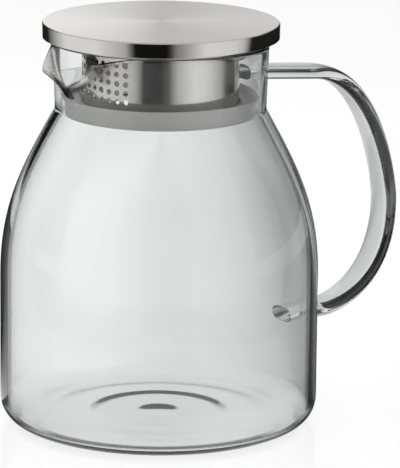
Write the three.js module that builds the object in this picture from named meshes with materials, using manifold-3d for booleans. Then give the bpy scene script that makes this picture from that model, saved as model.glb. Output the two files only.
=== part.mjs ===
// Glass jug with a push-in steel lid whose perforated strainer turns in a silicone seal.
// Millimetres, +Z up, the jug stands on z = 0. The spout points along -X, the handle along +X.
import * as THREE from 'three';
import { mergeVertices } from 'three/addons/utils/BufferGeometryUtils.js';
import Module from 'manifold-3d';

// Driving dimensions of the glass body
const bodyRadius = 67.6;
const glassWall = 3;
const heelRadius = 10.8;
const footRingWidth = 5.3;
const innerStepRise = 0.3;
const outerStepRise = 0.4;
const dimpleRadius = 10.5;
const dimpleDepth = 0.9;
const floorThickness = 3.3;
const floorRise = 0.3;
const innerHeelRadius = 8.5;
const shoulderHeight = 63.4;
const shoulderSwell = 31;
const shoulderRun = 26.6;
const shoulderAngle = 28.5;
const waistRadius = 44.7;
const waistHeight = 136.2;
const neckHeight = 27.9;
const waistFillet = 4;
const neckFlare = 0.9;

// Driving dimensions of the pinched spout
const spoutReach = 12.4;
const spoutDip = 7.6;
const spoutFootRise = 7.2;
const spoutTipAngle = 4;
const spoutDipPower = 1.25;
const spoutCurlPower = 1.3;
const creaseThickening = 1;

// Driving dimensions of the handle strap
const handleWidth = 15.4;
const handleThickness = 6.3;
const handleStandOff = 50.5;
const handleWidestHeight = 81.5;
const handleTopRise = 10.3;
const handleTopFall = 3.3;
const handleTopRun = 33.4;
const handleTopBend = 31;
const handleUpperBow = 11.3;
const handleLowerBow = 37.2;
const handleLowBend = 6;
const handleLowRun = 15.8;
const handleLowHeight = 36.5;
const handleLowRise = 0.7;
const handleSquareness = 2.7;

// Driving dimensions of the lid, its strainer and its seal
const lidOverhang = 4.4;
const lidHeight = 7.8;
const skirtLift = 1.5;
const lidEdgeRadius = 0.7;
const panCornerRadius = 2.4;
const panFlangeDrop = 2;
const panCupDepth = 4;
const steelThickness = 0.8;
const throatWidth = 8.5;
const holeDiameter = 2.4;
const holeMargin = 0.6;
const holeRowWeb = 1.35;
const holeColumnWeb = 1.63;
const holeColumns = 10;
const sealDrop = 3.3;
const sealHeight = 9;
const sealFootThickness = 2.1;
const sealLipReach = 1.4;
const sealLipHeight = 2.6;
const sealLipThickness = 0.9;
const sealCupDepth = 2.2;
const sealChamfer = 0.8;
const sealChamferHeight = 1.6;
const sealFootLip = 1.2;

// Gap between pieces that touch, how far cutters run past what they cut, and how near two
// vertices are the same one
const seatGap = 0.3;
const overrun = 3;
const weldTolerance = 1e-4;

// How finely round forms are divided
const glassSides = 56;
const spoutCrowding = 0.4;
const steelSides = 56;
const holeSides = 10;
const handleSides = 16;
const handleSteps = 50;

const degrees = Math.PI / 180;
const quarterTurn = 90 * degrees;
const halfTurn = 180 * degrees;

const wasm = await Module();
wasm.setup();

// Materials
function material(color, roughness, metalness, opacity = 1) {
  return new THREE.MeshStandardMaterial({
    color, roughness, metalness, opacity, transparent: opacity < 1,
  });
}

const clearGlass = material(0xdfe6e4, 0.03, 0, 0.35);
const handleGlass = material(0xd8dfdd, 0.03, 0, 0.4);
const brushedLidSteel = material(0xcfcdc8, 0.32, 1);
const panSteel = material(0xb9b7b2, 0.35, 1);
const strainerSteel = material(0xd3d1cb, 0.28, 1);
const silicone = material(0x9a9d9f, 0.6, 0, 0.8);

// Points on a circular arc in the half plane (radius, height), both ends included
function arc(centreX, centreY, radius, from, to, steps) {
  return Array.from({ length: steps + 1 }, (unused, i) => {
    const angle = from + ((to - from) * i) / steps;
    return new THREE.Vector2(
      centreX + radius * Math.cos(angle),
      centreY + radius * Math.sin(angle),
    );
  });
}

// A closed solid of revolution about +Z from a profile of (radius, height) points
function revolve(profile, sides) {
  const geometry = new THREE.LatheGeometry(profile, sides);
  geometry.rotateX(quarterTurn);
  return weld(geometry);
}

// Shared vertices merged, so that the surface is one closed mesh
function weld(geometry) {
  geometry.deleteAttribute('normal');
  geometry.deleteAttribute('uv');
  return mergeVertices(geometry, weldTolerance);
}

// Between three.js geometry and manifold solids
function toSolid(geometry) {
  return new wasm.Manifold(new wasm.Mesh({
    numProp: 3,
    vertProperties: new Float32Array(geometry.attributes.position.array),
    triVerts: new Uint32Array(geometry.index.array),
  }));
}

function toGeometry(solid) {
  const mesh = solid.getMesh();
  const geometry = new THREE.BufferGeometry();
  geometry.setAttribute('position', new THREE.BufferAttribute(mesh.vertProperties, 3));
  geometry.setIndex(new THREE.BufferAttribute(mesh.triVerts, 1));
  geometry.computeVertexNormals();
  return geometry;
}

function part(name, geometry, surface) {
  geometry.computeVertexNormals();
  const mesh = new THREE.Mesh(geometry, surface);
  mesh.name = name;
  return mesh;
}

// Glass body: the outside of its wall from the heel up to the neck, each point with its normal
const footRadius = bodyRadius - heelRadius;
const rimHeight = waistHeight + neckHeight;
const rimRadius = waistRadius + neckFlare;
const lipRadius = glassWall / 2;
const neckTop = rimHeight - lipRadius;
const spoutFootHeight = waistHeight + spoutFootRise;
const shoulderEnd = new THREE.Vector2(
  waistRadius + waistFillet * (1 - Math.cos(shoulderAngle * degrees)),
  waistHeight - waistFillet * Math.sin(shoulderAngle * degrees),
);
const shoulderCurve = new THREE.CubicBezierCurve(
  new THREE.Vector2(bodyRadius, shoulderHeight),
  new THREE.Vector2(bodyRadius, shoulderHeight + shoulderSwell),
  new THREE.Vector2(
    shoulderEnd.x + shoulderRun * Math.sin(shoulderAngle * degrees),
    shoulderEnd.y - shoulderRun * Math.cos(shoulderAngle * degrees),
  ),
  shoulderEnd,
);

function outerWall() {
  const wall = [];
  const shoulderSteps = 9;
  for (let i = 0; i <= shoulderSteps; i += 1) {
    const point = shoulderCurve.getPoint(i / shoulderSteps);
    const tangent = shoulderCurve.getTangent(i / shoulderSteps);
    wall.push({ point, normal: new THREE.Vector2(tangent.y, -tangent.x) });
  }
  const filletSteps = 2;
  for (let i = 1; i <= filletSteps; i += 1) {
    const angle = shoulderAngle * degrees * (1 - i / filletSteps);
    const normal = new THREE.Vector2(Math.cos(angle), Math.sin(angle));
    const point = new THREE.Vector2(
      waistRadius + waistFillet * (1 - normal.x),
      waistHeight - waistFillet * normal.y,
    );
    wall.push({ point, normal });
  }
  const spoutRows = 6;
  for (let i = 0; i <= spoutRows; i += 1) {
    const height = spoutFootHeight + ((neckTop - spoutFootHeight) * i) / spoutRows;
    const point = new THREE.Vector2(neckRadius(height), height);
    wall.push({ point, normal: new THREE.Vector2(1, 0) });
  }
  return wall;
}

// The neck flares a little from the waist to the rim
function neckRadius(height) {
  return waistRadius + (neckFlare * (height - waistHeight)) / (neckTop - waistHeight);
}

// Underside of the base: a small dimple in the middle, then two low steps down to the foot ring
function underside() {
  const ringInner = footRadius - footRingWidth;
  const stepsRise = innerStepRise + outerStepRise;
  const dimpleShares = [0, 0.35, 0.65, 1];
  const innerStepShares = [0.47, 0.62];
  const outerStepShares = [0.77, 1];
  const dimple = dimpleShares.map((share) => new THREE.Vector2(
    share * dimpleRadius,
    stepsRise + (dimpleDepth * (1 + Math.cos(halfTurn * share))) / 2,
  ));
  return [
    ...dimple,
    new THREE.Vector2(innerStepShares[0] * ringInner, stepsRise),
    new THREE.Vector2(innerStepShares[1] * ringInner, outerStepRise),
    new THREE.Vector2(outerStepShares[0] * ringInner, outerStepRise),
    new THREE.Vector2(outerStepShares[1] * ringInner, 0),
  ];
}

function offsetWall(wall, distance) {
  return wall.map(({ point, normal }) => point.clone().addScaledVector(normal, distance));
}

function glassProfile() {
  const heel = arc(footRadius, heelRadius, heelRadius, -quarterTurn, 0, 5);
  const wall = outerWall();
  const rim = arc(rimRadius - lipRadius, neckTop, lipRadius, 0, halfTurn, 4).slice(1, -1);
  const inside = offsetWall(wall, -glassWall).reverse();
  const innerHeelCentre = bodyRadius - glassWall - innerHeelRadius;
  const innerHeelHeight = floorThickness + innerHeelRadius;
  const innerHeel = arc(innerHeelCentre, innerHeelHeight, innerHeelRadius, 0, -quarterTurn, 4);
  const floorShares = [0.66, 0.33, 0];
  const floor = floorShares.map((share) => new THREE.Vector2(
    share * innerHeelCentre,
    floorThickness + floorRise * (1 - share ** 2),
  ));
  return [
    ...underside(), ...heel, ...offsetWall(wall, 0), ...rim, ...inside, ...innerHeel, ...floor,
  ];
}

// The pinched spout. Each level of the neck is drawn out along two straight lines that leave its
// circle as tangents and meet in a tip, and the tips curl outwards from the foot to the rim.
function pullSpout(geometry) {
  const position = geometry.attributes.position;
  const tipSoftness = spoutTipAngle * degrees;
  for (let i = 0; i < position.count; i += 1) {
    const height = position.getZ(i);
    const radius = Math.hypot(position.getX(i), position.getY(i));
    const rise = (height - spoutFootHeight) / (rimHeight - spoutFootHeight);
    if (rise <= 0) continue;
    const depth = Math.max(neckRadius(height) - radius, 0) / glassWall;
    const reach = rise ** spoutCurlPower * (spoutReach - creaseThickening * depth);
    const tangentAngle = Math.acos(radius / (radius + reach));
    const turn = Math.atan2(position.getY(i), -position.getX(i));
    const softTurn = Math.hypot(turn, tipSoftness) - tipSoftness;
    if (softTurn >= tangentAngle) continue;
    const along = Math.tan(tangentAngle - softTurn) / Math.tan(tangentAngle);
    const scale = 1 / Math.cos(tangentAngle - softTurn);
    position.setXYZ(
      i,
      position.getX(i) * scale,
      position.getY(i) * scale,
      height - spoutDip * rise * along ** spoutDipPower,
    );
  }
}

// Turns each vertex about +Z so that the sides crowd together at the spout
function crowdSides(geometry) {
  const position = geometry.attributes.position;
  for (let i = 0; i < position.count; i += 1) {
    const radius = Math.hypot(position.getX(i), position.getY(i));
    const turn = Math.atan2(position.getY(i), -position.getX(i));
    const crowded = turn - spoutCrowding * Math.sin(turn);
    position.setXY(i, -radius * Math.cos(crowded), radius * Math.sin(crowded));
  }
}

function makeGlassBody() {
  const geometry = new THREE.LatheGeometry(glassProfile(), glassSides, quarterTurn);
  geometry.rotateX(quarterTurn);
  const welded = weld(geometry);
  crowdSides(welded);
  pullSpout(welded);
  return part('glass_body', welded, clearGlass);
}

// Handle: a glass strap swept along straight roots and two bends, trimmed to the wall
const handleReach = bodyRadius + handleStandOff;

function handlePath() {
  const at = (x, z) => new THREE.Vector3(x, 0, z);
  const handleTopHeight = waistHeight + handleTopRise;
  const topFallPerLength = handleTopFall / handleTopRun;
  const topStart = at(0, handleTopHeight + waistRadius * topFallPerLength);
  const topEnd = at(waistRadius + handleTopRun, handleTopHeight - handleTopFall);
  const widest = at(handleReach, handleWidestHeight);
  const lowRisePerLength = handleLowRise / handleLowRun;
  const lowEnd = at(bodyRadius + handleLowRun, handleLowHeight + handleLowRise);
  const lowStart = at(0, handleLowHeight - bodyRadius * lowRisePerLength);
  const path = new THREE.CurvePath();
  path.add(new THREE.LineCurve3(topStart, topEnd));
  path.add(new THREE.CubicBezierCurve3(
    topEnd,
    at(topEnd.x + handleTopBend, topEnd.z - handleTopBend * topFallPerLength),
    at(widest.x, widest.z + handleUpperBow),
    widest,
  ));
  path.add(new THREE.CubicBezierCurve3(
    widest,
    at(widest.x, widest.z - handleLowerBow),
    at(lowEnd.x + handleLowBend, lowEnd.z + handleLowBend * lowRisePerLength),
    lowEnd,
  ));
  path.add(new THREE.LineCurve3(lowEnd, lowStart));
  return path;
}

// Section of the strap: a superellipse, rounder at the edges than a rectangle
function strapSection() {
  const power = 2 / handleSquareness;
  const points = Array.from({ length: handleSides }, (unused, i) => {
    const angle = ((i + 0.5) * 2 * halfTurn) / handleSides;
    const across = Math.sign(Math.cos(angle)) * Math.abs(Math.cos(angle)) ** power;
    const through = Math.sign(Math.sin(angle)) * Math.abs(Math.sin(angle)) ** power;
    return new THREE.Vector2((across * handleWidth) / 2, (through * handleThickness) / 2);
  });
  return new THREE.Shape(points);
}

function makeHandle() {
  const strap = new THREE.ExtrudeGeometry(strapSection(), {
    steps: handleSteps,
    extrudePath: handlePath(),
  });
  const keepOut = revolve([
    new THREE.Vector2(0, heelRadius),
    new THREE.Vector2(bodyRadius + seatGap, heelRadius),
    ...offsetWall(outerWall(), seatGap),
    new THREE.Vector2(0, neckTop),
  ], glassSides);
  const trimmed = toSolid(weld(strap)).subtract(toSolid(keepOut));
  return part('handle', toGeometry(trimmed), handleGlass);
}

// Lid: an outer cap over an inner pan, which carries the strainer
const lidRadius = rimRadius + lidOverhang;
const lidUnderside = rimHeight + seatGap;
const lidTop = lidUnderside + lidHeight;
const panRadius = lidRadius - steelThickness - seatGap;
const strainerRadius = waistRadius - glassWall - throatWidth;
const strainerInner = strainerRadius - steelThickness;
const sealBottom = waistHeight - sealDrop;
const sealTop = sealBottom + sealHeight;
const sealCupFloor = sealTop - sealCupDepth;
const grooveFloor = sealBottom + sealFootThickness;

function makeLidCap() {
  const inner = lidRadius - steelThickness;
  const skirtBottom = lidUnderside + skirtLift;
  const edge = arc(
    lidRadius - lidEdgeRadius, lidTop - lidEdgeRadius, lidEdgeRadius, quarterTurn, 0, 3,
  );
  const profile = [
    new THREE.Vector2(0, lidTop),
    ...edge,
    new THREE.Vector2(lidRadius, skirtBottom),
    new THREE.Vector2(inner, skirtBottom),
    new THREE.Vector2(inner, lidTop - steelThickness),
    new THREE.Vector2(0, lidTop - steelThickness),
  ];
  return part('lid_cap', revolve(profile.reverse(), steelSides), brushedLidSteel);
}

function makeLidPan() {
  const cupRadius = strainerInner - seatGap;
  const cupInner = cupRadius - steelThickness;
  const cupBottom = lidUnderside - panCupDepth;
  const cornerCentre = panRadius - panCornerRadius;
  const cornerHeight = lidUnderside + panCornerRadius;
  const flangeTop = lidTop - steelThickness - panFlangeDrop;
  const innerCorner = panCornerRadius - steelThickness;
  const profile = [
    new THREE.Vector2(0, cupBottom),
    new THREE.Vector2(cupRadius, cupBottom),
    new THREE.Vector2(cupRadius, lidUnderside),
    ...arc(cornerCentre, cornerHeight, panCornerRadius, -quarterTurn, 0, 3),
    new THREE.Vector2(panRadius, flangeTop),
    new THREE.Vector2(panRadius - steelThickness, flangeTop),
    ...arc(cornerCentre, cornerHeight, innerCorner, 0, -quarterTurn, 3),
    new THREE.Vector2(cupInner, lidUnderside + steelThickness),
    new THREE.Vector2(cupInner, cupBottom + steelThickness),
    new THREE.Vector2(0, cupBottom + steelThickness),
  ];
  return part('lid_pan', revolve(profile, steelSides), panSteel);
}

// Strainer sleeve: a steel tube with a field of round holes that faces the spout
function makeStrainer() {
  const strainerBottom = grooveFloor + seatGap;
  const strainerTop = lidUnderside - seatGap;
  const tube = revolve([
    new THREE.Vector2(strainerInner, strainerBottom),
    new THREE.Vector2(strainerRadius, strainerBottom),
    new THREE.Vector2(strainerRadius, strainerTop),
    new THREE.Vector2(strainerInner, strainerTop),
    new THREE.Vector2(strainerInner, strainerBottom),
  ], steelSides);
  const cutterLength = steelThickness + 2 * overrun;
  const rowPitch = holeDiameter + holeRowWeb;
  const topRow = lidUnderside - panCupDepth - holeMargin - holeDiameter / 2;
  const rows = 1 + Math.floor((topRow - holeDiameter / 2 - sealCupFloor) / rowPitch);
  const columnAngle = (holeDiameter + holeColumnWeb) / strainerRadius;
  let sleeve = toSolid(tube);
  for (let column = 0; column < holeColumns; column += 1) {
    const turn = halfTurn + (column - (holeColumns - 1) / 2) * columnAngle;
    for (let row = 0; row < rows; row += 1) {
      const drill = new THREE.CylinderGeometry(
        holeDiameter / 2, holeDiameter / 2, cutterLength, holeSides,
      );
      drill.rotateZ(quarterTurn);
      drill.translate(strainerInner + steelThickness / 2, 0, topRow - row * rowPitch);
      drill.rotateZ(turn);
      sleeve = sleeve.subtract(toSolid(weld(drill)));
    }
  }
  return part('strainer_sleeve', toGeometry(sleeve), strainerSteel);
}

// Seal: a silicone ring that holds the foot of the sleeve and wipes the neck with its top lip
function makeSeal() {
  const bore = strainerRadius + seatGap;
  const lip = waistRadius - glassWall - seatGap;
  const barrel = lip - sealLipReach;
  const foot = strainerInner - sealFootLip;
  const profile = [
    new THREE.Vector2(foot, sealBottom),
    new THREE.Vector2(barrel - sealChamfer, sealBottom),
    new THREE.Vector2(barrel, sealBottom + sealChamferHeight),
    new THREE.Vector2(barrel, sealTop - sealLipHeight),
    new THREE.Vector2(lip, sealTop),
    new THREE.Vector2(lip - sealLipThickness, sealTop),
    new THREE.Vector2(bore, sealCupFloor),
    new THREE.Vector2(bore, grooveFloor),
    new THREE.Vector2(foot, grooveFloor),
    new THREE.Vector2(foot, sealBottom),
  ];
  return part('seal_ring', revolve(profile, steelSides), silicone);
}

// The jug's axis is set off the origin, so that the origin is the middle of its footprint
const jug = new THREE.Group();
jug.position.x = (bodyRadius - handleReach - handleThickness / 2) / 2;
jug.add(
  makeGlassBody(),
  makeHandle(),
  makeLidCap(),
  makeLidPan(),
  makeStrainer(),
  makeSeal(),
);

export default jug;
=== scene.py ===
import math

import bmesh
import bpy
from mathutils import Matrix, Vector
from mathutils.geometry import interpolate_bezier


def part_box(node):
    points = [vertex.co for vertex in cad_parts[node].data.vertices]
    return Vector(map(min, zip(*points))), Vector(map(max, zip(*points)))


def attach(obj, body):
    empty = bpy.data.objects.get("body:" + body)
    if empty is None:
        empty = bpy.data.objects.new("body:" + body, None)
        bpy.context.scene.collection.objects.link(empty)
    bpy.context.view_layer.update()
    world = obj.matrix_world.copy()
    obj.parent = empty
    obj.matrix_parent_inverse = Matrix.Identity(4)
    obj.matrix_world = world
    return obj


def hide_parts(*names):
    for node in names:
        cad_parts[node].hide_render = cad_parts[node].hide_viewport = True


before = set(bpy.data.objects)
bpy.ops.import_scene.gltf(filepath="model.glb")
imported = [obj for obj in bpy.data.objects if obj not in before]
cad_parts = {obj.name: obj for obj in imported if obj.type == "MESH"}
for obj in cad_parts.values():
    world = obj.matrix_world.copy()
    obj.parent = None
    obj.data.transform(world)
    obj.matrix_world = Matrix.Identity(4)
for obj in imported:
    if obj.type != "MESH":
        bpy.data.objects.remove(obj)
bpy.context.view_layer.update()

bl_info = {
    "name": "Glass jug",
    "version": (1, 0, 0),
    "blender": (4, 5, 0),
    "location": "3D View > Sidebar > Jug",
    "description": "Glass jug with a steel lid, its strainer, a silicone seal and a photo stage",
    "category": "Add Mesh",
}

AXIS_X = sum(corner.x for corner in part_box("lid_cap")) / 2
AXIS = Vector((AXIS_X, 0, 0))
MM = 0.001


# Small helpers: colours, sizes and nodes

def linear(colour):
    """Linear RGBA of an sRGB hex value."""
    channels = [int(colour[i:i + 2], 16) / 255 for i in (1, 3, 5)]
    lit = [c / 12.92 if c <= 0.04045 else ((c + 0.055) / 1.055) ** 2.4 for c in channels]
    return (*lit, 1.0)


def size(name, millimetres, description):
    return bpy.props.FloatProperty(
        name=name, description=description, default=millimetres * MM, unit="LENGTH"
    )


def turn(name, degrees, description):
    return bpy.props.FloatProperty(
        name=name, description=description, default=math.radians(degrees), subtype="ANGLE"
    )


def number(name, value, description):
    return bpy.props.FloatProperty(name=name, description=description, default=value)


def count(name, value, description):
    return bpy.props.IntProperty(name=name, description=description, default=value, min=3)


def tint(name, colour, description):
    return bpy.props.FloatVectorProperty(
        name=name, description=description, default=linear(colour), subtype="COLOR",
        size=4, min=0.0, max=1.0,
    )


def grey(level):
    return (level, level, level, 1.0)


def darker(colour, share):
    return (*(channel * share for channel in colour[:3]), 1.0)


def add(tree, kind, inputs=(), stops=(), **settings):
    """Adds a node, sets it and fills its sockets with values or with other nodes' outputs. A
    colour ramp gets its stops, each a position and a grey."""
    made = tree.nodes.new(kind)
    for key, value in settings.items():
        setattr(made, key, value)
    for socket, value in dict(inputs).items():
        if isinstance(value, bpy.types.NodeSocket):
            tree.links.new(value, made.inputs[socket])
        else:
            made.inputs[socket].default_value = value
    if stops:
        elements = made.color_ramp.elements
        while len(elements) < len(stops):
            elements.new(0.5)
        for element, (position, level) in zip(elements, stops):
            element.position = position
            element.color = grey(level)
    return made


def new_material(name):
    material = bpy.data.materials.new(name)
    material.use_nodes = True
    material.node_tree.nodes.clear()
    return material, material.node_tree


# Shapes

# Divisions along the stretches of the glass wall, the base and the steel's edges
SHOULDER_STEPS = 40
FILLET_STEPS = 8
NECK_STEPS = 16
DIMPLE_STEPS = 12
BASE_STEPS = 40
HEEL_STEPS = 18
INNER_HEEL_STEPS = 14
RIM_STEPS = 12
FLOOR_STEPS = 12
TOP_RUN_STEPS = 12
LOW_RUN_STEPS = 8
EDGE_STEPS = 8
HEM_STEPS = 4
CORNER_STEPS = 10
INNER_CORNER_STEPS = 6
BEND_STEPS = 5
SOFT_STEPS = 3
HOLE_SIDES = 20
TENT_SIDES = 96
# How near two vertices are the same one
WELD = 1e-6


def arc(centre, radius, start, end, steps):
    """Points of an arc in the half plane (radius, height), both ends included."""
    angles = [start + (end - start) * i / steps for i in range(steps + 1)]
    return [Vector((centre[0] + radius * math.cos(a), centre[1] + radius * math.sin(a)))
            for a in angles]


def lathe(bm, profile, sides, closed=False):
    """Spins a profile of (radius, height) once round the jug's axis."""
    verts = [bm.verts.new((AXIS_X + r, 0, z)) for r, z in profile]
    pairs = list(zip(verts, verts[1:])) + ([(verts[-1], verts[0])] if closed else [])
    edges = [bm.edges.new(pair) for pair in pairs]
    bmesh.ops.spin(
        bm, geom=verts + edges, cent=AXIS, axis=(0, 0, 1), dvec=(0, 0, 0),
        angle=2 * math.pi, steps=sides, use_merge=True, use_normal_flip=False,
        use_duplicate=False,
    )


def finish_piece(bm, name, body, replaced, material, sharp=35):
    """Makes a smooth, closed mesh object of bm that rides on a body in place of a CAD node.
    Edges over sharp degrees stay sharp."""
    bmesh.ops.remove_doubles(bm, verts=bm.verts[:], dist=WELD)
    bmesh.ops.recalc_face_normals(bm, faces=bm.faces[:])
    loose = [edge for edge in bm.edges if not edge.is_manifold]
    if loose:
        raise RuntimeError(f"{name} has {len(loose)} open edges")
    mesh = bpy.data.meshes.new(name)
    bm.to_mesh(mesh)
    bm.free()
    mesh.shade_smooth()
    mesh.set_sharp_from_angle(angle=math.radians(sharp))
    piece = bpy.data.objects.new(name, mesh)
    bpy.context.scene.collection.objects.link(piece)
    mesh.materials.append(material)
    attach(piece, body)
    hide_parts(replaced)
    return piece


def keep_round(mesh):
    """Gives the walls of a punched tube the normals of the tube before it was punched."""
    on_wall = 0.95
    normals = [Vector()] * len(mesh.loops)
    for face in mesh.polygons:
        out = (face.center - AXIS) * Vector((1, 1, 0))
        facing = face.normal.dot(out.normalized())
        if abs(facing) > on_wall:
            for loop in face.loop_indices:
                place = mesh.vertices[mesh.loops[loop].vertex_index].co - AXIS
                normals[loop] = Vector((place.x, place.y, 0)).normalized() * (
                    1 if facing > 0 else -1)
    mesh.normals_split_custom_set(normals)


# The glass wall, shared by the body and by the handle's roots

def neck_radius(g, height):
    """The neck flares a little from the waist to the rim."""
    rim = g.waist_height + g.neck_height - g.wall / 2
    return g.waist_radius + g.neck_flare * (height - g.waist_height) / (rim - g.waist_height)


def outer_wall(g):
    """The outside of the wall from the top of the heel to the rim, as points and normals."""
    lean = g.shoulder_angle
    end = Vector((g.waist_radius + g.waist_fillet * (1 - math.cos(lean)),
                  g.waist_height - g.waist_fillet * math.sin(lean)))
    start = Vector((g.body_radius, g.shoulder_height))
    points = [Vector((p.x, p.y)) for p in interpolate_bezier(
        start.to_3d(), (start + Vector((0, g.shoulder_swell))).to_3d(),
        (end + g.shoulder_run * Vector((math.sin(lean), -math.cos(lean)))).to_3d(),
        end.to_3d(), SHOULDER_STEPS)]
    points += [Vector((g.waist_radius + g.waist_fillet * (1 - math.cos(a)),
                       g.waist_height - g.waist_fillet * math.sin(a)))
               for a in (lean * (1 - i / FILLET_STEPS) for i in range(1, FILLET_STEPS + 1))]
    foot = g.waist_height + g.spout_foot_rise
    top = g.waist_height + g.neck_height - g.wall / 2
    points += [Vector((neck_radius(g, z), z))
               for z in (foot + (top - foot) * i / NECK_STEPS for i in range(NECK_STEPS + 1))]
    normals = []
    for i in range(len(points)):
        run = points[min(i + 1, len(points) - 1)] - points[max(i - 1, 0)]
        normals.append(Vector((run.y, -run.x)).normalized())
    return points, normals


def underside_height(g, radius):
    """Two low steps up from the foot ring, and a small dimple in the middle."""
    steps = (
        (g.dimple_depth, 0, g.dimple_radius),
        (g.inner_step, g.inner_step_radius, g.inner_step_width),
        (g.outer_step, g.outer_step_radius, g.outer_step_width),
    )
    return sum(
        rise * (1 + math.cos(math.pi * min(max((radius - start) / width, 0), 1))) / 2
        for rise, start, width in steps)


def glass_profile(g):
    """The whole section of the body, from the middle of its underside to that of its floor."""
    foot = g.body_radius - g.heel_radius
    ring = foot - g.foot_ring_width
    radii = [g.dimple_radius * i / DIMPLE_STEPS for i in range(DIMPLE_STEPS)]
    radii += [g.dimple_radius + (ring - g.dimple_radius) * i / BASE_STEPS
              for i in range(BASE_STEPS + 1)]
    underside = [Vector((r, underside_height(g, r))) for r in radii]
    heel = arc((foot, g.heel_radius), g.heel_radius, -math.pi / 2, 0, HEEL_STEPS)
    points, normals = outer_wall(g)
    lip = g.wall / 2
    rim_height = g.waist_height + g.neck_height
    rim = arc((g.waist_radius + g.neck_flare - lip, rim_height - lip), lip, 0, math.pi,
              RIM_STEPS)
    inside = [p - n * g.wall for p, n in zip(points, normals)][::-1]
    centre = (g.body_radius - g.wall - g.inner_heel_radius,
              g.floor_thickness + g.inner_heel_radius)
    inner_heel = arc(centre, g.inner_heel_radius, 0, -math.pi / 2, INNER_HEEL_STEPS)
    floor = [Vector((centre[0] * s, g.floor_thickness + g.floor_rise * (1 - s ** 2)))
             for s in (1 - i / FLOOR_STEPS for i in range(1, FLOOR_STEPS + 1))]
    return [*underside, *heel, *points[:-1], *rim, *inside[1:], *inner_heel, *floor]


def pull_spout(bm, g):
    """Draws each level of the neck out along two tangent lines that meet in a curling tip."""
    foot = g.waist_height + g.spout_foot_rise
    rim = g.waist_height + g.neck_height
    for vert in bm.verts:
        x, y, height = vert.co - AXIS
        angle = math.atan2(y, -x)
        radius = math.hypot(x, y)
        crowded = angle - g.spout_crowding * math.sin(angle)
        x, y = -radius * math.cos(crowded), radius * math.sin(crowded)
        rise = (height - foot) / (rim - foot)
        if rise > 0:
            depth = max(neck_radius(g, height) - radius, 0) / g.wall
            reach = rise ** g.spout_curl * (g.spout_reach + g.spout_thinning * depth)
            tangent = math.acos(radius / (radius + reach))
            soft = math.hypot(crowded, g.spout_softness) - g.spout_softness
            if soft < tangent:
                along = math.tan(tangent - soft) / math.tan(tangent)
                x /= math.cos(tangent - soft)
                y /= math.cos(tangent - soft)
                height -= g.spout_dip * rise * along ** g.spout_dip_curve
        vert.co = AXIS + Vector((x, y, height))


# Sizes and colours that a user would change

class GlassSizes(bpy.types.PropertyGroup):
    """Sizes of the blown body and its spout"""
    body_radius: size("Body radius", 67.6, "Outside of the straight part of the body")
    wall: size("Wall", 3, "Thickness of the blown wall")
    heel_radius: size("Heel radius", 10.8, "Rounding between wall and foot")
    foot_ring_width: size("Foot ring", 5.3, "Width of the flat ring that the jug stands on")
    inner_step: size("Inner step", 0.45, "Rise of the underside's inner step")
    inner_step_radius: size("Inner step radius", 24.2, "Where the inner step starts to fall")
    inner_step_width: size("Inner step width", 7.7, "Width of the inner step's slope")
    outer_step: size("Outer step", 0.3, "Rise of the underside's outer step")
    outer_step_radius: size("Outer step radius", 39.7, "Where the outer step starts to fall")
    outer_step_width: size("Outer step width", 11.8, "Width of the outer step's slope")
    dimple_radius: size("Dimple radius", 10.5, "Radius of the mark in the middle of the base")
    dimple_depth: size("Dimple depth", 0.9, "Depth of the mark in the middle of the base")
    floor_thickness: size("Floor height", 3.3, "Height of the inner floor at its edge")
    floor_rise: size("Floor crown", 0.3, "How far the inner floor rises in the middle")
    inner_heel_radius: size("Inner heel radius", 5.5, "Rounding between wall and inner floor")
    shoulder_height: size("Shoulder height", 63.4, "Where the straight wall starts to close in")
    shoulder_swell: size("Shoulder swell", 31, "Length of the shoulder curve's lower handle")
    shoulder_run: size("Shoulder run", 26.6, "Length of the shoulder curve's upper handle")
    shoulder_angle: turn("Shoulder lean", 28.5, "Lean of the shoulder where it meets the neck")
    waist_radius: size("Waist radius", 44.7, "Outside of the neck at its narrowest")
    waist_height: size("Waist height", 136.2, "Height of the neck's narrowest place")
    waist_fillet: size("Waist fillet", 4, "Rounding between shoulder and neck")
    neck_height: size("Neck height", 27.9, "From the waist to the top of the rim")
    neck_flare: size("Neck flare", 0.9, "How far the neck opens towards the rim")
    spout_reach: size("Spout reach", 12.4, "How far the spout's tip stands out from the neck")
    spout_dip: size("Spout dip", 7.6, "How far the spout's tip hangs below the rim")
    spout_foot_rise: size("Spout foot", 7.2, "Where the spout starts, above the waist")
    spout_softness: turn("Spout softness", 4, "Rounding of the spout's crease")
    spout_dip_curve: number("Spout dip curve", 1.25, "How late the rim dips towards the tip")
    spout_curl: number("Spout curl", 1.3, "How late the crease curls outwards")
    spout_crowding: number("Spout crowding", 0.4, "How closely the mesh crowds at the spout")
    spout_thinning: size("Spout thinning", 1, "How much thinner the glass is at the tip")
    sides: count("Sides", 224, "Divisions round the jug")


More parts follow.
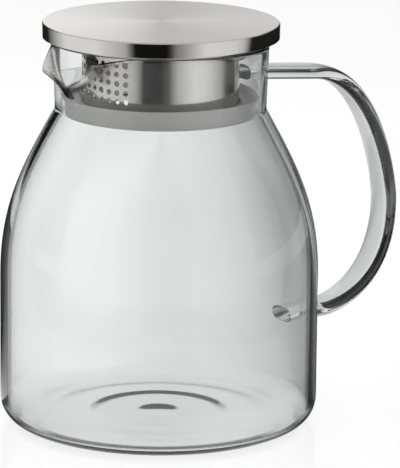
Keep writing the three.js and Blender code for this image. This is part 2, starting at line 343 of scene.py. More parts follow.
class HandleSizes(bpy.types.PropertyGroup):
    """Sizes of the handle's strap"""
    width: size("Width", 15.4, "Width of the strap")
    thickness: size("Thickness", 6.3, "Thickness of the strap")
    stand_off: size("Stand-off", 50.5, "From the body to the middle of the strap at its widest")
    widest_height: size("Widest height", 81.5, "Where the strap stands out furthest")
    top_rise: size("Top rise", 10.3, "Height of the upper root above the waist")
    top_fall: size("Top fall", 3.3, "How far the upper run falls")
    top_run: size("Top run", 33.4, "Length of the straight upper run")
    top_bend: size("Top bend", 31, "Length of the upper bend's first handle")
    upper_bow: size("Upper bow", 11.3, "Length of the upper bend's second handle")
    lower_bow: size("Lower bow", 37.2, "Length of the lower bend's first handle")
    low_bend: size("Lower bend", 6, "Length of the lower bend's second handle")
    low_run: size("Lower run", 15.8, "Length of the straight lower run")
    low_height: size("Lower root height", 36.5, "Height of the lower root at the wall")
    low_rise: size("Lower rise", 0.7, "How far the lower run rises")
    squareness: number("Squareness", 2.7, "2 is an ellipse, and more is squarer")
    root_sink: size("Root sink", 0.3, "How far the fused roots reach into the wall")
    section_sides: count("Section sides", 40, "Divisions round the strap")
    steps: count("Steps", 60, "Divisions along each stretch of the strap")


class LidSizes(bpy.types.PropertyGroup):
    """Sizes of the lid, its strainer and its seal"""
    steel: size("Sheet", 0.8, "Thickness of the steel sheet")
    gap: size("Gap", 0.3, "Gap between pieces that touch")
    edge_radius: size("Edge radius", 0.7, "Rounding of the cap's top edge")
    pan_corner: size("Pan corner", 2.4, "Rounding of the pan's corner")
    cup_depth: size("Cup depth", 4, "How far the pan's cup reaches into the strainer")
    hole: size("Hole", 2.4, "Diameter of a strainer hole")
    hole_margin: size("Hole margin", 0.6, "From the cup's floor to the top row")
    row_web: size("Row web", 1.35, "Steel between two rows of holes")
    column_web: size("Column web", 1.63, "Steel between two columns of holes")
    columns: count("Columns", 10, "Columns of holes")
    rows: count("Rows", 5, "Rows of holes")
    seal_foot: size("Seal foot", 2.1, "Thickness of the seal under the sleeve")
    seal_foot_lip: size("Seal foot lip", 1.2, "How far the seal's foot reaches inside the sleeve")
    seal_lip_reach: size("Seal lip reach", 1.4, "How far the seal's lip stands out")
    seal_lip_height: size("Seal lip height", 2.6, "Height of the seal's lip")
    seal_lip: size("Seal lip", 0.9, "Thickness of the seal's lip")
    seal_cup: size("Seal cup", 2.2, "Depth of the hollow behind the seal's lip")
    seal_chamfer: size("Seal chamfer", 0.8, "Chamfer at the seal's foot")
    seal_chamfer_height: size("Seal chamfer height", 1.6, "Height of that chamfer")
    seal_bevel: size("Seal bevel", 0.15, "Rounding of the seal's edges")
    sides: count("Sides", 224, "Divisions round the lid")


class Finishes(bpy.types.PropertyGroup):
    """Colours of the materials, and how the table shines"""
    glass: tint("Glass", "#F6F7F7", "Clear borosilicate glass")
    # Glass edge is painted shade, grey with a touch of green, for the wall seen along itself
    glass_edge_shade: tint("Glass edge", "#8C8F8B", "The same glass, seen along the wall")
    spout_glass: tint("Spout glass", "#CDD0B4", "The same glass, thick and pinched")
    steel: tint("Steel", "#D5D3CF", "Brushed stainless steel")
    pan: tint("Pan steel", "#C9C7C3", "Drawn stainless steel")
    silicone: tint("Silicone", "#E4E4E2", "Grey silicone rubber")
    table: tint("Table", "#FFFFFF", "The table top")
    table_glow: number("Table glow", 1.16, "How bright the camera sees the table")
    table_sheen: number("Table sheen", 0.34, "Share of the table's own shading and mirror image")


class StageSizes(bpy.types.PropertyGroup):
    """The camera, the light tent and the table"""
    distance: size("Distance", 1579.1, "From the jug's axis to the camera, along the floor")
    height: size("Height", 462.9, "Height of the camera")
    azimuth: turn("Azimuth", -33.3, "Turn of the camera about the jug, from the front")
    pitch: turn("Pitch", 13.609, "How far the camera looks down")
    yaw: turn("Yaw", 0.624, "How far the camera looks to the right of the axis")
    roll: turn("Roll", 0.605, "How far the camera is tilted")
    lens: number("Lens", 294.24, "Focal length in millimetres on a 36 mm sensor")
    tent_radius: size("Tent radius", 600, "Radius of the light tent")
    tent_height: size("Tent height", 2200, "Height of the light tent")
    table_size: size("Table", 4000, "Half the width of the table top")
    table_gap: size("Table gap", 0.1, "How far the table lies below the foot ring")
    room: number("Room", 0.45, "How light the room above the tent is")


# Materials

# Painted shade on glass, by how much it is seen along itself, from 0 square on to 1 edge on: the
# dark edges stand in for the dark surroundings that the wall's edge shows
WALL_EDGE_SHADE = [(0, 0), (0.76, 0), (0.79, 0.85), (0.86, 0.8), (0.92, 0.3), (1, 0.1)]
STRAP_EDGE_SHADE = [(0, 0), (0.5, 0), (0.75, 0.5), (0.9, 0.8), (1, 0.6)]
GLASS_IOR = 1.473
SILICONE_IOR = 1.41
# Real grooves are about 0.05 mm apart, and these are wider so that they show
GROOVE_PITCH = 0.4 * MM
GROOVE_DEPTH = 0.01 * MM
RUBBER_GRAIN = 0.8 * MM


def from_axis(tree):
    """X, Y and Z of the Object coordinates from the jug's axis on, and the distance from it."""
    place = add(tree, "ShaderNodeTexCoord").outputs["Object"]
    centred = add(tree, "ShaderNodeVectorMath", {0: place, 1: AXIS}, operation="SUBTRACT")
    x, y, z = add(tree, "ShaderNodeSeparateXYZ", {"Vector": centred.outputs[0]}).outputs
    flat = add(tree, "ShaderNodeCombineXYZ", {"X": x, "Y": y}).outputs[0]
    radius = add(tree, "ShaderNodeVectorMath", {0: flat}, operation="LENGTH").outputs["Value"]
    return x, y, z, radius


def zone(tree, *factors):
    """Multiplies factors. One given as a value and two places in millimetres rises from 0 at
    the first to 1 at the second."""
    inside = None
    for factor in factors:
        if isinstance(factor, tuple):
            value, start, end = factor
            factor = add(tree, "ShaderNodeMapRange", {
                "Value": value, "From Min": start * MM, "From Max": end * MM,
            }).outputs["Result"]
        inside = factor if inside is None else add(
            tree, "ShaderNodeMath", {0: inside, 1: factor}, operation="MULTIPLY").outputs[0]
    return inside


def layered(tree, colour, *layers):
    """Lays further colours over one, each as far as its own factor says."""
    for factor, over in layers:
        colour = add(tree, "ShaderNodeMix", {"Factor": factor, "A": colour, "B": over},
                     data_type="RGBA").outputs["Result"]
    return colour


def glass_surface(tree, facing_stops):
    """Borosilicate glass: mirror smooth and without grain. Also gives how much it is seen along
    itself, and how much painted shade darkens it there."""
    facing = add(tree, "ShaderNodeLayerWeight", {"Blend": 0.5}).outputs["Facing"]
    edge = add(tree, "ShaderNodeValToRGB", {"Fac": facing}, facing_stops).outputs["Color"]
    surface = add(tree, "ShaderNodeBsdfPrincipled", {
        "Roughness": 0.0, "IOR": GLASS_IOR, "Transmission Weight": 1.0,
    })
    add(tree, "ShaderNodeOutputMaterial", {"Surface": surface.outputs["BSDF"]})
    return surface.inputs, facing, edge


def blown_glass(props):
    """Borosilicate glass, blown: clear, but for painted shade where the thick wall is seen along
    itself, between the floor and the neck. The drawn spout is clearer where it is seen square on,
    and has a green cast at its tip."""
    material, tree = new_material("Borosilicate_glass_blown")
    surface, facing, edge = glass_surface(tree, WALL_EDGE_SHADE)
    x, _, z, radius = from_axis(tree)
    above_floor = add(tree, "ShaderNodeMath", {
        0: zone(tree, (z, 6, 18)), 1: zone(tree, (radius, 57, 61))}, operation="MAXIMUM")
    # Painted shade where the wall is seen along itself, between the floor and the waist
    wall_edge_shade = zone(tree, edge, above_floor.outputs[0], (z, 136, 130))
    spout = zone(tree, (radius, 45.8, 46.8), (z, 141, 144))
    tip = zone(tree, spout, (x, -49, -54))
    thin = add(tree, "ShaderNodeMapRange", {
        "Value": facing, "From Min": 0.6, "From Max": 0.92, "To Min": 0.22, "To Max": 0.95})
    alpha = add(tree, "ShaderNodeMapRange", {
        "Value": spout, "To Min": 1.0, "To Max": thin.outputs["Result"]})
    colour = layered(tree, props.glass, (tip, props.spout_glass), (wall_edge_shade, props.glass_edge_shade))
    tree.links.new(colour, surface["Base Color"])
    tree.links.new(alpha.outputs["Result"], surface["Alpha"])
    return material


def pressed_glass(props, lower_joint, upper_joint):
    """Borosilicate glass, pressed: clear, but for painted shade where the strap is seen along
    itself. Within the joints, each given as a height and a radius, fused glass has no surface of
    its own."""
    material, tree = new_material("Borosilicate_glass_pressed")
    surface, _, edge = glass_surface(tree, STRAP_EDGE_SHADE)
    _, _, z, radius = from_axis(tree)
    (low, wide), (high, narrow) = lower_joint, upper_joint
    joint = add(tree, "ShaderNodeMapRange", {
        "Value": z, "From Min": low, "From Max": high, "To Min": wide, "To Max": narrow})
    outside = add(tree, "ShaderNodeMath", {0: radius, 1: joint.outputs["Result"]},
                  operation="GREATER_THAN")
    # Painted shade where the strap is seen along itself
    colour = layered(tree, props.glass, (edge, props.glass_edge_shade))
    tree.links.new(colour, surface["Base Color"])
    tree.links.new(outside.outputs[0], surface["Alpha"])
    return material


def steel_material(name, colour, roughness, across, inside=None, skirt=None):
    """18/8 stainless steel, brushed on a lathe: fine grooves run round the axis, so highlights
    spread across them, and the grooves show as faint rings. Nearer the axis than inside, its
    colour is darkened as painted shade within the tube, and further out than skirt it is
    smoother."""
    material, tree = new_material(name)
    x, y, z, radius = from_axis(tree)
    angle = add(tree, "ShaderNodeMath", {0: y, 1: x}, operation="ARCTAN2").outputs[0]
    drift = add(tree, "ShaderNodeMath", {0: angle, 1: GROOVE_PITCH}, operation="MULTIPLY")
    groove = add(tree, "ShaderNodeCombineXYZ", {"X": radius, "Y": z, "Z": drift.outputs[0]})
    grain = add(tree, "ShaderNodeTexNoise", {
        "Vector": groove.outputs[0], "Scale": 1 / GROOVE_PITCH, "Detail": 3.0, "Roughness": 0.6,
    }).outputs["Fac"]
    shine = add(tree, "ShaderNodeMapRange", {
        "Value": grain, "From Min": 0.3, "From Max": 0.7,
        "To Min": roughness - 0.03, "To Max": roughness + 0.03,
    }).outputs["Result"]
    if skirt:
        on_skirt = add(tree, "ShaderNodeMath", {0: radius, 1: skirt}, operation="GREATER_THAN")
        shine = add(tree, "ShaderNodeMath", {0: on_skirt.outputs[0], 1: -0.08, 2: shine},
                    operation="MULTIPLY_ADD").outputs[0]
    bump = add(tree, "ShaderNodeBump", {
        "Height": grain, "Strength": 0.07, "Distance": GROOVE_DEPTH,
    })
    tangent = add(tree, "ShaderNodeTangent", direction_type="RADIAL", axis="Z")
    shade = layered(tree, darker(colour, 0.86), (grain, colour))
    # Painted shade: nearer the axis than inside, the colour falls to 0.3 of itself
    if inside:
        out = add(tree, "ShaderNodeMath", {0: radius, 1: inside}, operation="GREATER_THAN")
        shade = layered(tree, darker(colour, 0.3), (out.outputs[0], shade))
    surface = add(tree, "ShaderNodeBsdfPrincipled", {
        "Base Color": shade, "Metallic": 1.0, "Roughness": shine, "Anisotropic": across,
        "Anisotropic Rotation": 0.25, "Tangent": tangent.outputs[0], "Normal": bump.outputs[0],
    })
    add(tree, "ShaderNodeOutputMaterial", {"Surface": surface.outputs["BSDF"]})
    return material


def silicone_material(props):
    """Silicone rubber, moulded: matt, a little cloudy, with a fine dust-like grain."""
    material, tree = new_material("Silicone_rubber_moulded")
    place = add(tree, "ShaderNodeTexCoord").outputs["Object"]
    grain = add(tree, "ShaderNodeTexNoise", {
        "Vector": place, "Scale": 1 / RUBBER_GRAIN, "Detail": 2.0,
    }).outputs["Fac"]
    shine = add(tree, "ShaderNodeMapRange", {"Value": grain, "To Min": 0.2, "To Max": 0.32})
    surface = add(tree, "ShaderNodeBsdfPrincipled", {
        "Base Color": layered(tree, darker(props.silicone, 0.92), (grain, props.silicone)),
        "Roughness": shine.outputs["Result"], "IOR": SILICONE_IOR, "Subsurface Weight": 0.4,
        "Subsurface Radius": (1, 1, 1), "Subsurface Scale": 1.5 * MM,
    })
    add(tree, "ShaderNodeOutputMaterial", {"Surface": surface.outputs["BSDF"]})
    return material


# The stage's light. Its greys stand by the turn in degrees from straight behind the jug, as
# the photograph sees it: more is to the left. Bare metal mirrors a soft box on each side, a
# black flag round the camera and dark corners beside the backdrop.
BARE = [
    (-180, 0), (-174, 0), (-170.6, 0.06), (-166.3, 0.27), (-156.8, 0.49), (-147.2, 0.75),
    (-137.7, 1), (-127.4, 1), (-105.3, 0.92), (-95, 0.67), (-90, 0.3), (-86, 0.01), (-18, 0.01),
    (-11.5, 0.78), (-2, 0.79), (-1.2, 0.74), (0, 0.7), (0.9, 0.84), (3, 1.02), (6.5, 1.08),
    (14.4, 1.05), (18.7, 0.01), (43, 0.01), (60.3, 0.5), (78.5, 1.03), (116.6, 1.03),
    (127.4, 0.86), (137.7, 0.72), (147.2, 0.58), (152, 0.2), (156, 0), (180, 0),
]
# Metal behind the neck's glass mirrors other flags through it
THROUGH = [
    (-180, 0.03), (-168, 0.15), (-163, 0.4), (-156, 0.7), (-144, 0.95), (-132, 1.15),
    (-118, 1.1), (-104, 0.9), (-88, 0.6), (-74, 0.08), (-66, 0.02), (-52, 0.02), (-42, 0.45),
    (-20, 0.7), (0, 0.8), (30, 0.8), (42, 0.3), (46, 0.1), (50, 0.59), (70, 0.7), (88, 0.9),
    (104, 0.95), (118, 0.92), (132, 0.84), (144, 0.7), (150, 0.4), (156, 0.05), (180, 0.03),
]
# Light that is mirrored inside the thick wall comes from the table, from the tent, and for the
# neck from a strip at the tent's foot
NEAR = [
    (-180, 0.9), (-112, 0.9), (-108, 0.03), (-36, 0.05), (-28, 0.05), (-24, 0.2), (-20, 0.4),
    (-14, 0.54), (-1, 0.6), (0, 0.03), (8, 0.05), (11, 0.09), (14, 0.12), (38, 0.12),
    (44, 0.04), (102, 0.04), (110, 0.9), (180, 0.9),
]
HIGH = [
    (-180, 0.9), (-112, 0.9), (-108, 0.03), (-36, 0.05), (-28, 0.05), (-24, 0.2), (-20, 0.4),
    (-14, 0.54), (-1, 0.6), (0, 0.01), (38, 0.01), (102, 0.02), (110, 0.9), (180, 0.9),
]
FAR = [
    (-180, 0.9), (-112, 0.9), (-96, 0.8), (-45, 0.6), (-36, 0.05), (-26, 0.05), (-20, 0.3),
    (0, 0.8), (38, 0.8), (44, 0.04), (76, 0.04), (82, 0.8), (96, 0.9), (180, 0.9),
]
# What clear glass shows behind itself: by the turn on the tent, and by millimetres to the left
# on the table
TENT_BEHIND = [
    (-180, 0.8), (-79, 0.8), (-40, 0.4), (-20, 0.28), (-14, 0.36), (-10, 0.54), (-5, 0.77),
    (0, 0.9), (5, 1.02), (10, 1.12), (30, 1.15), (90, 0.85), (180, 0.8),
]
TABLE_BEHIND = [
    (-400, 0.8), (-280, 0.4), (-240, 0.06), (-200, 0.06), (-160, 0.28), (-130, 0.36),
    (-110, 0.46), (-80, 0.5), (-66, 0.58), (-56, 0.65), (-37, 0.77), (-19.5, 0.87), (0, 0.94),
    (17, 0.98), (35, 1), (54, 1.03), (80, 1.02), (107, 1.08), (200, 1.1), (300, 0.9),
    (400, 0.8),
]
TABLE_SPAN = 800
# Where light leaves the wall's edge, in millimetres beside the axis
WALL_SIDE = 66
ACRYLIC_IOR = 1.49


def centred_stops(stops, span):
    """Stops given by their distance from a ramp's middle, as shares of its span."""
    return [(0.5 + distance / span, level) for distance, level in stops]


def stage_place(tree):
    """Where a point of the stage is, from the Object coordinates of a piece whose X axis points
    away from the camera. turned is its turn about the axis, and leaving is the turn of a ray
    that leaves the wall's edge for it, both as shares of a full turn."""
    place = add(tree, "ShaderNodeTexCoord").outputs["Object"]
    x, y, z = add(tree, "ShaderNodeSeparateXYZ", {"Vector": place}).outputs
    radius = add(tree, "ShaderNodeVectorMath", {0: place}, operation="LENGTH").outputs["Value"]
    turned = add(tree, "ShaderNodeTexGradient", {"Vector": place}, gradient_type="RADIAL")
    aside = add(tree, "ShaderNodeMath", {0: y}, operation="ABSOLUTE").outputs[0]
    side = add(tree, "ShaderNodeMath", {0: y}, operation="SIGN").outputs[0]
    leaving = aside
    for operation, *others in (
        ("SUBTRACT", WALL_SIDE * MM), ("MAXIMUM", 0.0), ("ARCTAN2", x), ("MULTIPLY", side),
        ("MULTIPLY_ADD", 1 / (2 * math.pi), 0.5),
    ):
        leaving = add(tree, "ShaderNodeMath", {0: leaving, **dict(enumerate(others, 1))},
                      operation=operation).outputs[0]
    return {"x": x, "y": y, "z": z, "aside": aside, "radius": radius,
            "turned": turned.outputs["Fac"], "leaving": leaving}


def shown_greys(tree, at, *patterns):
    """The greys of patterns by turn, each given with the kind of turn that it goes by."""
    return [add(tree, "ShaderNodeValToRGB", {"Fac": at[kind]}, centred_stops(stops, 360)
                ).outputs["Color"] for stops, kind in patterns]


def by_path(tree, behind, bare, in_wall, through):
    """The stage's light for each kind of path. How often light was mirrored and refracted tells
    clear glass, bare metal, the inside of a wall and metal behind glass apart. Also gives
    whether the camera sees the stage itself."""
    path = add(tree, "ShaderNodeLightPath").outputs
    mirrored, refracted, body, neck = (
        add(tree, "ShaderNodeMath", {0: path[depth], 1: least}, operation="GREATER_THAN"
            ).outputs[0]
        for depth, least in (
            ("Glossy Depth", 0.5), ("Transmission Depth", 0.5), ("Transmission Depth", 2.5),
            ("Transmission Depth", 3.5)))
    # A single piece of glass, such as the strap, shows a paler stage than the body's two walls
    share = add(tree, "ShaderNodeMath", {0: body, 1: 0.5}, operation="MAXIMUM").outputs[0]
    clear = layered(tree, grey(0.85), (share, behind))
    shiny = layered(tree, bare, (refracted, in_wall), (neck, through))
    return layered(tree, clear, (mirrored, shiny)), path["Is Camera Ray"]


def tent_material():
    """Diffusing cloth lit from behind, with black flags where the photograph shows them."""
    material, tree = new_material("Tent_cloth_lit")
    at = stage_place(tree)
    behind, bare, in_wall, foot, through = shown_greys(
        tree, at, (TENT_BEHIND, "turned"), (BARE, "turned"), (HIGH, "leaving"),
        (FAR, "turned"), (THROUGH, "turned"))
    # The flags are only as high as the photograph's mirror images need them
    bare = layered(tree, bare, (zone(tree, (at["z"], 420, 560)), grey(0.72)))
    in_wall = layered(tree, in_wall, (zone(tree, (at["z"], 6, 12), (at["z"], 76, 70)), foot))
    light, _ = by_path(tree, behind, bare, in_wall, through)
    glow = add(tree, "ShaderNodeEmission", {"Color": light})
    add(tree, "ShaderNodeOutputMaterial", {"Surface": glow.outputs[0]})
    return material


def table_material(props):
    """White acrylic sheet, polished: near white, with a soft mirror image of the jug."""
    material, tree = new_material("Acrylic_sheet_polished")
    at = stage_place(tree)
    x, radius, aside = at["x"], at["radius"], at["aside"]
    tent, bare, in_wall, through = shown_greys(
        tree, at, (TENT_BEHIND, "turned"), (BARE, "turned"), (NEAR, "leaving"),
        (THROUGH, "turned"))
    across = zone(tree, (at["y"], -TABLE_SPAN / 2, TABLE_SPAN / 2))
    stripes = add(tree, "ShaderNodeValToRGB", {"Fac": across},
                  centred_stops(TABLE_BEHIND, TABLE_SPAN)).outputs["Color"]
    # A pale table before the jug, a dark ring under the heel that is a painted contact shadow,
    # and the tent further off
    heel = zone(tree, (radius, 51, 54), (radius, 70, 65), (x, 40, 0), (aside, 52, 42))
    behind = layered(tree, grey(0.85), (zone(tree, (x, 0, 80)), stripes), (heel, grey(0.02)),
                     (zone(tree, (x, 330, 590)), tent))
    # Before the foot, the glass mirrors a pale table outside and a dark one inside, and that dark
    # stretch beside the foot is painted shade
    ahead = add(tree, "ShaderNodeMath", {0: x, 1: 20 * MM}, operation="LESS_THAN").outputs[0]
    bare = layered(
        tree, bare, (zone(tree, (radius, 104, 96), (x, -40, -50)), grey(0.8)),
        (zone(tree, (radius, 112, 86), (aside, 42, 62), ahead), grey(0.02)))
    # Painted shade: a dark ring on the table before the foot, which light mirrored inside the
    # wall shows
    ring = zone(tree, (radius, 60, 66), (radius, 420, 280), ahead)
    in_wall = layered(tree, in_wall, (ring, grey(0.03)))
    light, camera = by_path(tree, behind, bare, in_wall, through)
    beyond = add(tree, "ShaderNodeEmission", {"Color": light})
    glow = add(tree, "ShaderNodeEmission", {"Color": props.table, "Strength": props.table_glow})
    sheet = add(tree, "ShaderNodeBsdfPrincipled", {
        "Base Color": props.table, "Roughness": 0.12, "IOR": ACRYLIC_IOR,
    })
    seen = add(tree, "ShaderNodeMixShader", {
        0: props.table_sheen, 1: glow.outputs[0], 2: sheet.outputs[0]})
    surface = add(tree, "ShaderNodeMixShader", {
        0: camera, 1: beyond.outputs[0], 2: seen.outputs[0]})
    add(tree, "ShaderNodeOutputMaterial", {"Surface": surface.outputs[0]})
    return material


# Operators, one for each piece

class JUG_OT_glass_body(bpy.types.Operator):
    """Spins the glass body and draws out its pinched spout"""
    bl_idname = "jug.glass_body"
    bl_label = "Glass body"

    def execute(self, context):
        g = context.scene.jug_glass
        bm = bmesh.new()
        lathe(bm, glass_profile(g), g.sides)
        bmesh.ops.remove_doubles(bm, verts=bm.verts[:], dist=WELD)
        pull_spout(bm, g)
        finish_piece(bm, "jug_glass", "jug", "glass_body",
                     blown_glass(context.scene.jug_finishes), sharp=60)
        return {"FINISHED"}


class JUG_OT_handle(bpy.types.Operator):
    """Sweeps the handle's flat strap from the neck to the lower wall"""
    bl_idname = "jug.handle"
    bl_label = "Handle"

    def execute(self, context):
        g, h = context.scene.jug_glass, context.scene.jug_handle
        top_slope = h.top_fall / h.top_run
        low_slope = h.low_rise / h.low_run
        top_height = g.waist_height + h.top_rise
        top_start = Vector((g.waist_radius, 0, top_height))
        top_end = Vector((g.waist_radius + h.top_run, 0, top_height - h.top_fall))
        widest = Vector((g.body_radius + h.stand_off, 0, h.widest_height))
        low_end = Vector((g.body_radius + h.low_run, 0, h.low_height + h.low_rise))
        low_start = Vector((g.body_radius, 0, h.low_height))
        upper = interpolate_bezier(
            top_end, top_end + h.top_bend * Vector((1, 0, -top_slope)),
            widest + Vector((0, 0, h.upper_bow)), widest, h.steps)
        lower = interpolate_bezier(
            widest, widest - Vector((0, 0, h.lower_bow)),
            low_end + h.low_bend * Vector((1, 0, low_slope)), low_end, h.steps)
        path = [top_start.lerp(top_end, i / TOP_RUN_STEPS) for i in range(TOP_RUN_STEPS)]
        path += upper[:-1] + lower
        path += [low_end.lerp(low_start, i / LOW_RUN_STEPS) for i in range(1, LOW_RUN_STEPS + 1)]
        power = 2 / h.squareness
        section = []
        for i in range(h.section_sides):
            a = (i + 0.5) * 2 * math.pi / h.section_sides
            section.append((
                math.copysign(abs(math.cos(a)) ** power, math.cos(a)) * h.width / 2,
                math.copysign(abs(math.sin(a)) ** power, math.sin(a)) * h.thickness / 2))
        points, normals = outer_wall(g)
        wall = [p - n * h.root_sink for p, n in zip(points, normals)]

        def wall_radius(height):
            """The radius at a height that the roots end on."""
            if height <= wall[0].y:
                return wall[0].x
            for low, high in zip(wall, wall[1:]):
                if low.y <= height <= high.y:
                    share = (height - low.y) / max(high.y - low.y, 1e-9)
                    return low.x + (high.x - low.x) * share
            return wall[-1].x

        def place(ring, step):
            """Moves a ring of vertices onto the path's section at step."""
            before, after = path[max(step - 1, 0)], path[min(step + 1, len(path) - 1)]
            along = (after - before).normalized()
            out = Vector((-along.z, 0, along.x))
            for vert, (across, through) in zip(ring, section):
                co = path[step] + Vector((0, across, 0)) + out * through
                if step in (0, len(path) - 1):
                    radius = wall_radius(co.z)
                    co.x = math.sqrt(radius ** 2 - co.y ** 2)
                vert.co = AXIS + co

        bm = bmesh.new()
        ring = [bm.verts.new() for _ in section]
        place(ring, 0)
        edges = [bm.edges.new(pair) for pair in zip(ring, ring[1:] + ring[:1])]
        bm.faces.new(ring)
        for step in range(1, len(path)):
            made = bmesh.ops.extrude_edge_only(bm, edges=edges)["geom"]
            old = ring
            new = {v for v in made if isinstance(v, bmesh.types.BMVert)}
            ring = [next(e.other_vert(v) for e in v.link_edges if e.other_vert(v) in new)
                    for v in old]
            edges = [bm.edges.get(pair) for pair in zip(ring, ring[1:] + ring[:1])]
            place(ring, step)
        bm.faces.new(ring)
        # The roots' end faces lie within these radii, below the first height and above the second
        glass = pressed_glass(
            context.scene.jug_finishes, (60 * MM, g.body_radius - h.root_sink / 2),
            (130 * MM, g.waist_radius + 0.02 * h.root_sink))
        finish_piece(bm, "handle_strap", "jug", "handle", glass, sharp=50)
        return {"FINISHED"}


class JUG_OT_lid_cap(bpy.types.Operator):
    """Spins the lid's outer cap from sheet"""
    bl_idname = "jug.lid_cap"
    bl_label = "Lid cap"

    def execute(self, context):
        lid = context.scene.jug_lid
        low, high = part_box("lid_cap")
        radius, top, bottom = (high.x - low.x) / 2, high.z, low.z
        inner = radius - lid.steel
        edge = lid.edge_radius
        hem = lid.steel / 4
        profile = [
            Vector((0, top)), *[Vector((radius * s, top)) for s in (0.25, 0.5, 0.75, 0.9, 0.96)],
            *arc((radius - edge, top - edge), edge, math.pi / 2, 0, EDGE_STEPS),
            *arc((radius - hem, bottom + hem), hem, 0, -math.pi / 2, HEM_STEPS),
            *arc((inner + hem, bottom + hem), hem, -math.pi / 2, -math.pi, HEM_STEPS),
            Vector((inner, top - lid.steel)), Vector((0, top - lid.steel)),
        ]
        bm = bmesh.new()
        lathe(bm, profile, lid.sides)
        steel = steel_material(
            "Stainless_steel_brushed", context.scene.jug_finishes.steel, roughness=0.2,
            across=0.85, skirt=radius - 0.4 * edge)
        finish_piece(bm, "lid_cap_spun", "lid", "lid_cap", steel)
        return {"FINISHED"}


class JUG_OT_lid_pan(bpy.types.Operator):
    """Spins the pan that closes the lid from below and plugs the strainer"""
    bl_idname = "jug.lid_pan"
    bl_label = "Lid pan"

    def execute(self, context):
        lid = context.scene.jug_lid
        low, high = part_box("lid_pan")
        sleeve_low, sleeve_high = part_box("strainer_sleeve")
        radius = (high.x - low.x) / 2
        cup = (sleeve_high.x - sleeve_low.x) / 2 - lid.steel - lid.gap
        cup_inner = cup - lid.steel
        underside = low.z + lid.cup_depth
        corner = lid.pan_corner
        centre = (radius - corner, underside + corner)
        bend = lid.steel
        profile = [
            Vector((0, low.z)),
            *arc((cup - bend, low.z + bend), bend, -math.pi / 2, 0, BEND_STEPS),
            Vector((cup, underside)),
            *arc(centre, corner, -math.pi / 2, 0, CORNER_STEPS),
            Vector((radius, high.z)), Vector((radius - lid.steel, high.z)),
            *arc(centre, corner - lid.steel, 0, -math.pi / 2, INNER_CORNER_STEPS),
            Vector((cup_inner, underside + lid.steel)),
            Vector((cup_inner, low.z + lid.steel)), Vector((0, low.z + lid.steel)),
        ]
        bm = bmesh.new()
        lathe(bm, profile, lid.sides)
        steel = steel_material(
            "Stainless_steel_drawn", context.scene.jug_finishes.pan, roughness=0.22, across=0.6)
        finish_piece(bm, "lid_pan_drawn", "lid", "lid_pan", steel)
        return {"FINISHED"}


class JUG_OT_strainer(bpy.types.Operator):
    """Rolls the strainer sleeve and punches its field of holes"""
    bl_idname = "jug.strainer"
    bl_label = "Strainer sleeve"

    def execute(self, context):
        lid = context.scene.jug_lid
        low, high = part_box("strainer_sleeve")
        radius = (high.x - low.x) / 2
        inner = radius - lid.steel
        soft = lid.steel / 4
        corners = [((radius - soft, low.z + soft), -90), ((radius - soft, high.z - soft), 0),
                   ((inner + soft, high.z - soft), 90), ((inner + soft, low.z + soft), 180)]
        profile = []
        for centre, start in corners:
            begin = math.radians(start)
            profile += arc(centre, soft, begin, begin + math.pi / 2, SOFT_STEPS)
        tube = bmesh.new()
        lathe(tube, profile, lid.sides, closed=True)
        bmesh.ops.remove_doubles(tube, verts=tube.verts[:], dist=WELD)
        bmesh.ops.recalc_face_normals(tube, faces=tube.faces[:])
        sleeve_mesh = bpy.data.meshes.new("sleeve_blank")
        tube.to_mesh(sleeve_mesh)
        tube.free()
        blank = bpy.data.objects.new("sleeve_blank", sleeve_mesh)
        pan_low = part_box("lid_pan")[0].z
        top_row = pan_low - lid.hole_margin - lid.hole / 2
        punches = bmesh.new()
        for column in range(lid.columns):
            angle = math.pi + (column - (lid.columns - 1) / 2) * (
                (lid.hole + lid.column_web) / radius)
            for row in range(lid.rows):
                place = (
                    Matrix.Translation(AXIS) @ Matrix.Rotation(angle, 4, "Z")
                    @ Matrix.Translation((
                        inner + lid.steel / 2, 0, top_row - row * (lid.hole + lid.row_web)))
                    @ Matrix.Rotation(math.pi / 2, 4, "Y"))
                bmesh.ops.create_cone(
                    punches, cap_ends=True, cap_tris=False, segments=HOLE_SIDES,
                    radius1=lid.hole / 2, radius2=lid.hole / 2, depth=lid.steel * 5, matrix=place)
        punch_mesh = bpy.data.meshes.new("sleeve_punches")
        punches.to_mesh(punch_mesh)
        punches.free()
        punch = bpy.data.objects.new("sleeve_punches", punch_mesh)
        for tool in (blank, punch):
            context.scene.collection.objects.link(tool)
        cut = blank.modifiers.new("Punch", "BOOLEAN")
        cut.operation, cut.object, cut.solver = "DIFFERENCE", punch, "EXACT"
        context.view_layer.update()
        cut_mesh = blank.evaluated_get(context.evaluated_depsgraph_get()).to_mesh()
        bm = bmesh.new()
        bm.from_mesh(cut_mesh)
        for tool, mesh in ((blank, sleeve_mesh), (punch, punch_mesh)):
            bpy.data.objects.remove(tool)
            bpy.data.meshes.remove(mesh)
        # The sleeve's inner face gets painted shade
        steel = steel_material(
            "Stainless_steel_rolled", context.scene.jug_finishes.steel, roughness=0.1,
            across=0.6, inside=inner + 0.1 * lid.steel)
        sleeve = finish_piece(bm, "strainer_sleeve_punched", "lid", "strainer_sleeve",
                              steel)
        keep_round(sleeve.data)
        return {"FINISHED"}


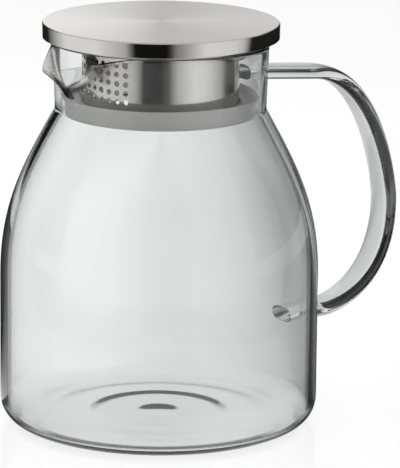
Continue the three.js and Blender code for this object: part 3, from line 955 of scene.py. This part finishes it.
class JUG_OT_seal(bpy.types.Operator):
    """Spins the silicone ring that holds the sleeve and wipes the neck"""
    bl_idname = "jug.seal"
    bl_label = "Seal ring"

    def execute(self, context):
        lid = context.scene.jug_lid
        low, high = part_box("seal_ring")
        sleeve_low, sleeve_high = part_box("strainer_sleeve")
        sleeve = (sleeve_high.x - sleeve_low.x) / 2
        bore = sleeve + lid.gap
        foot = sleeve - lid.steel - lid.seal_foot_lip
        lip = (high.x - low.x) / 2
        barrel = lip - lid.seal_lip_reach
        groove = low.z + lid.seal_foot
        cup_floor = high.z - lid.seal_cup
        profile = [
            (foot, low.z), (barrel - lid.seal_chamfer, low.z),
            (barrel, low.z + lid.seal_chamfer_height), (barrel, high.z - lid.seal_lip_height),
            (lip, high.z), (lip - lid.seal_lip, high.z), (bore, cup_floor), (bore, groove),
            (foot, groove),
        ]
        bm = bmesh.new()
        lathe(bm, profile, lid.sides, closed=True)
        bmesh.ops.remove_doubles(bm, verts=bm.verts[:], dist=WELD)
        bmesh.ops.recalc_face_normals(bm, faces=bm.faces[:])
        flat_angle = math.radians(10)
        edges = [e for e in bm.edges if e.calc_face_angle(0) > flat_angle]
        bmesh.ops.bevel(
            bm, geom=edges, offset=lid.seal_bevel, offset_type="OFFSET", affect="EDGES",
            segments=2, profile=0.5, material=-1, clamp_overlap=True)
        finish_piece(bm, "seal_ring_moulded", "seal", "seal_ring",
                     silicone_material(context.scene.jug_finishes))
        return {"FINISHED"}


class JUG_OT_stage(bpy.types.Operator):
    """Sets up the table, the light tent, the world and the camera"""
    bl_idname = "jug.stage"
    bl_label = "Stage"

    def execute(self, context):
        scene = context.scene
        stage, finishes = scene.jug_stage, scene.jug_finishes
        scene.view_settings.view_transform = "Standard"
        table = bmesh.new()
        bmesh.ops.create_grid(table, x_segments=2, y_segments=2, size=stage.table_size)
        tent = bmesh.new()
        bmesh.ops.create_cone(
            tent, cap_ends=False, cap_tris=False, segments=TENT_SIDES,
            radius1=stage.tent_radius, radius2=stage.tent_radius, depth=stage.tent_height,
            matrix=Matrix.Translation((0, 0, stage.tent_height / 2)))
        for name, bm, material, seen in (
            ("table_top", table, table_material(finishes), True),
            ("light_tent", tent, tent_material(), False),
        ):
            mesh = bpy.data.meshes.new(name)
            bm.to_mesh(mesh)
            bm.free()
            mesh.materials.append(material)
            piece = bpy.data.objects.new(name, mesh)
            scene.collection.objects.link(piece)
            # Its X axis points away from the camera, and it lies a hair below the foot ring
            piece.location = (AXIS_X, 0, -stage.table_gap)
            piece.rotation_euler = (0, 0, stage.azimuth + math.pi / 2)
            piece.visible_camera = seen
            piece.visible_shadow = seen

        world = bpy.data.worlds.new("Studio")
        world.use_nodes = True
        world.node_tree.nodes.clear()
        scene.world = world
        tree = world.node_tree
        path = add(tree, "ShaderNodeLightPath")
        # The camera sees white, and the jug a grey room above the tent
        seen = layered(tree, grey(stage.room), (path.outputs["Is Camera Ray"], grey(1)))
        sky = add(tree, "ShaderNodeBackground", {"Color": seen})
        add(tree, "ShaderNodeOutputWorld", {"Surface": sky.outputs[0]})

        camera = bpy.data.objects.new("Camera", bpy.data.cameras.new("Camera"))
        scene.collection.objects.link(camera)
        forward = Vector((-math.sin(stage.azimuth), math.cos(stage.azimuth), 0))
        eye = AXIS - stage.distance * forward + Vector((0, 0, stage.height))
        camera.matrix_world = (
            Matrix.Translation(eye) @ Matrix.Rotation(stage.azimuth - stage.yaw, 4, "Z")
            @ Matrix.Rotation(math.pi / 2 - stage.pitch, 4, "X")
            @ Matrix.Rotation(stage.roll, 4, "Z"))
        camera.data.sensor_width = 36
        camera.data.lens = stage.lens
        camera.data.clip_start, camera.data.clip_end = 0.01, 100
        scene.camera = camera
        return {"FINISHED"}


OPERATORS = (
    JUG_OT_glass_body, JUG_OT_handle, JUG_OT_lid_cap, JUG_OT_lid_pan, JUG_OT_strainer,
    JUG_OT_seal, JUG_OT_stage,
)
GROUPS = {
    "jug_glass": GlassSizes, "jug_handle": HandleSizes, "jug_lid": LidSizes,
    "jug_finishes": Finishes, "jug_stage": StageSizes,
}


class JUG_PT_panel(bpy.types.Panel):
    """Lists the jug's pieces and sizes"""
    bl_idname = "JUG_PT_panel"
    bl_label = "Glass jug"
    bl_space_type = "VIEW_3D"
    bl_region_type = "UI"
    bl_category = "Jug"

    def draw(self, context):
        for operator in OPERATORS:
            self.layout.operator(operator.bl_idname)
        for name, group in GROUPS.items():
            box = self.layout.box()
            for prop in group.__annotations__:
                box.prop(getattr(context.scene, name), prop)


def register():
    for group in (*GROUPS.values(), *OPERATORS, JUG_PT_panel):
        bpy.utils.register_class(group)
    for name, group in GROUPS.items():
        setattr(bpy.types.Scene, name, bpy.props.PointerProperty(type=group))


def unregister():
    for name in GROUPS:
        delattr(bpy.types.Scene, name)
    for group in (JUG_PT_panel, *reversed(OPERATORS), *GROUPS.values()):
        bpy.utils.unregister_class(group)


def main():
    register()
    bpy.ops.jug.stage()
    bpy.ops.jug.glass_body()
    bpy.ops.jug.handle()
    bpy.ops.jug.lid_cap()
    bpy.ops.jug.lid_pan()
    bpy.ops.jug.strainer()
    bpy.ops.jug.seal()


if __name__ == "__main__":
    main()
